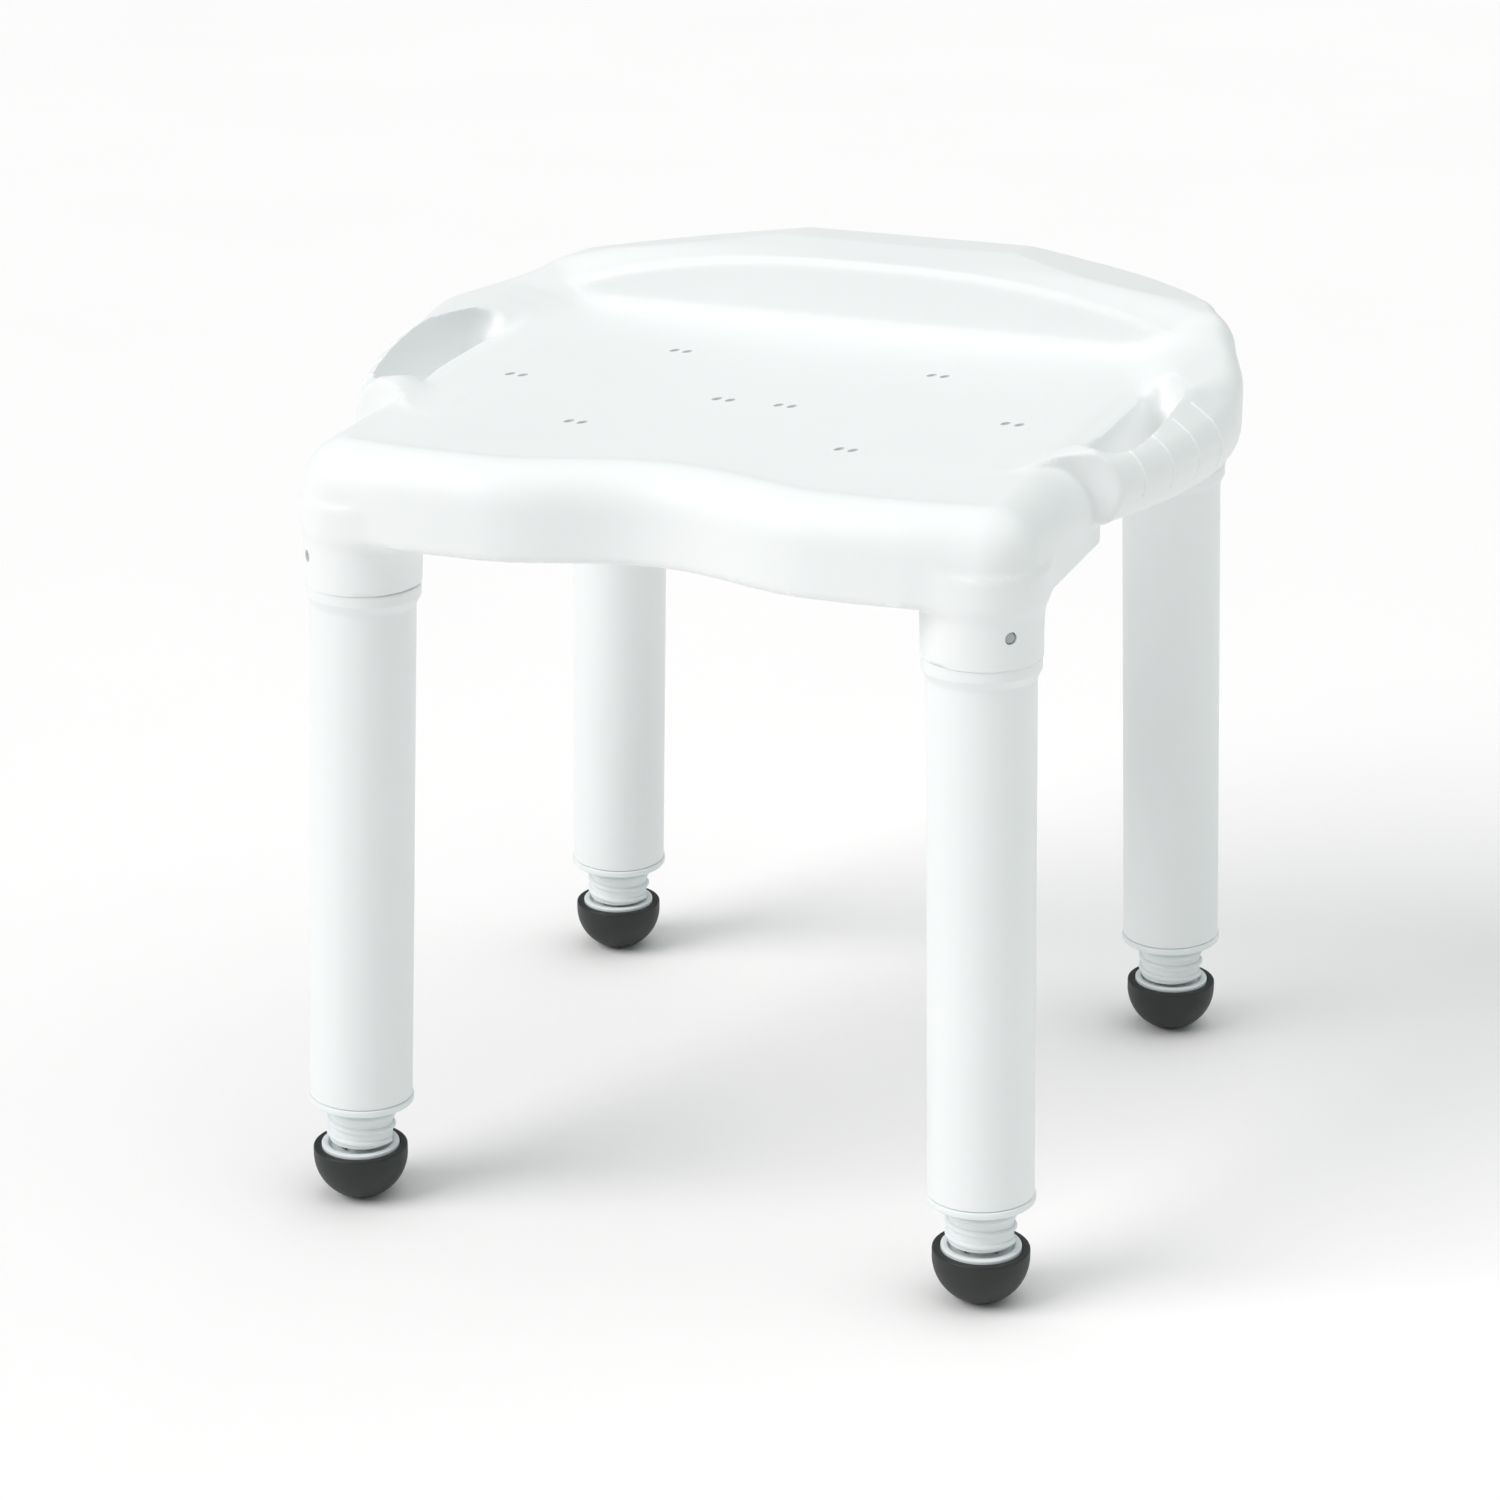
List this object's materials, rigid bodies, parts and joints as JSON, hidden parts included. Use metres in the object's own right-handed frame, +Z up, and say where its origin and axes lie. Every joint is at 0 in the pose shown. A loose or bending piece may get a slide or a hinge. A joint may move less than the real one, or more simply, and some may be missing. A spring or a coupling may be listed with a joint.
{
  "type": "shower stool",
  "caption": "Backless shower seat with hand-hole grips and a raised rear lip, on push-in tube legs with screw-adjusted rubber feet.",
  "frame": {"origin": "on the floor under the middle of the object's box", "axes": "+Z up, -Y towards the front edge, +X to the right as seen from the front"},
  "size_m": [0.486, 0.449, 0.466],
  "materials": {
    "seat_plastic": "white moulded polyethylene, fine grained satin",
    "tube_plastic": "white moulded plastic, satin",
    "adjuster_plastic": "white moulded plastic, satin",
    "button_plastic": "grey moulded plastic",
    "spring_steel": "plain spring steel strip",
    "rubber": "black moulded rubber, matt"
  },
  "bodies": {
    "frame": {"seat": "seat_plastic", "front_left_leg_tube": "tube_plastic", "front_left_thread_bush": "adjuster_plastic", "front_left_button_spring": "spring_steel", "front_right_leg_tube": "tube_plastic", "front_right_thread_bush": "adjuster_plastic", "front_right_button_spring": "spring_steel", "rear_left_leg_tube": "tube_plastic", "rear_left_thread_bush": "adjuster_plastic", "rear_left_button_spring": "spring_steel", "rear_right_leg_tube": "tube_plastic", "rear_right_thread_bush": "adjuster_plastic", "rear_right_button_spring": "spring_steel"},
    "front_left_foot": {"front_left_foot_cup": "adjuster_plastic", "front_left_rubber_tip": "rubber"},
    "front_left_screw": {"front_left_leg_screw": "adjuster_plastic"},
    "front_left_button": {"front_left_lock_button": "button_plastic"},
    "front_right_foot": {"front_right_foot_cup": "adjuster_plastic", "front_right_rubber_tip": "rubber"},
    "front_right_screw": {"front_right_leg_screw": "adjuster_plastic"},
    "front_right_button": {"front_right_lock_button": "button_plastic"},
    "rear_left_foot": {"rear_left_foot_cup": "adjuster_plastic", "rear_left_rubber_tip": "rubber"},
    "rear_left_screw": {"rear_left_leg_screw": "adjuster_plastic"},
    "rear_left_button": {"rear_left_lock_button": "button_plastic"},
    "rear_right_foot": {"rear_right_foot_cup": "adjuster_plastic", "rear_right_rubber_tip": "rubber"},
    "rear_right_screw": {"rear_right_leg_screw": "adjuster_plastic"},
    "rear_right_button": {"rear_right_lock_button": "button_plastic"}
  },
  "joints": [
    {"name": "front_left_height", "type": "slide", "parent": "frame", "child": "front_left_foot", "axis": [-0.0262, -0.0262, -0.9993], "range_m": [-0.022, 0.102]},
    {"name": "front_left_thread", "type": "hinge", "parent": "front_left_foot", "child": "front_left_screw", "pos_m": [-0.17845, -0.19585, 0.02099], "axis": [-0.0262, -0.0262, -0.9993], "range_deg": [-1150, 5260]},
    {"name": "front_left_lock", "type": "slide", "parent": "frame", "child": "front_left_button", "axis": [0.7066, 0.7066, -0.037], "range_m": [0, 0.005], "stiffness_N_per_m": 900, "springref_m": -0.004, "deforming": ["front_left_button_spring"]},
    {"name": "front_right_height", "type": "slide", "parent": "frame", "child": "front_right_foot", "axis": [0.0262, -0.0262, -0.9993], "range_m": [-0.022, 0.102]},
    {"name": "front_right_thread", "type": "hinge", "parent": "front_right_foot", "child": "front_right_screw", "pos_m": [0.17845, -0.19585, 0.02099], "axis": [0.0262, -0.0262, -0.9993], "range_deg": [-1150, 5260]},
    {"name": "front_right_lock", "type": "slide", "parent": "frame", "child": "front_right_button", "axis": [-0.7066, 0.7066, -0.037], "range_m": [0, 0.005], "stiffness_N_per_m": 900, "springref_m": -0.004, "deforming": ["front_right_button_spring"]},
    {"name": "rear_left_height", "type": "slide", "parent": "frame", "child": "rear_left_foot", "axis": [-0.0262, 0.0262, -0.9993], "range_m": [-0.022, 0.102]},
    {"name": "rear_left_thread", "type": "hinge", "parent": "rear_left_foot", "child": "rear_left_screw", "pos_m": [-0.17845, 0.18045, 0.02099], "axis": [-0.0262, 0.0262, -0.9993], "range_deg": [-1150, 5260]},
    {"name": "rear_left_lock", "type": "slide", "parent": "frame", "child": "rear_left_button", "axis": [0.7066, -0.7066, -0.037], "range_m": [0, 0.005], "stiffness_N_per_m": 900, "springref_m": -0.004, "deforming": ["rear_left_button_spring"]},
    {"name": "rear_right_height", "type": "slide", "parent": "frame", "child": "rear_right_foot", "axis": [0.0262, 0.0262, -0.9993], "range_m": [-0.022, 0.102]},
    {"name": "rear_right_thread", "type": "hinge", "parent": "rear_right_foot", "child": "rear_right_screw", "pos_m": [0.17845, 0.18045, 0.02099], "axis": [0.0262, 0.0262, -0.9993], "range_deg": [-1150, 5260]},
    {"name": "rear_right_lock", "type": "slide", "parent": "frame", "child": "rear_right_button", "axis": [-0.7066, -0.7066, -0.037], "range_m": [0, 0.005], "stiffness_N_per_m": 900, "springref_m": -0.004, "deforming": ["rear_right_button_spring"]}
  ],
  "couplings": [
    {"joint": "front_left_thread", "follows": "front_left_height", "rad_per_m": 897.6},
    {"joint": "front_right_thread", "follows": "front_right_height", "rad_per_m": 897.6},
    {"joint": "rear_left_thread", "follows": "rear_left_height", "rad_per_m": 897.6},
    {"joint": "rear_right_thread", "follows": "rear_right_height", "rad_per_m": 897.6}
  ]
}
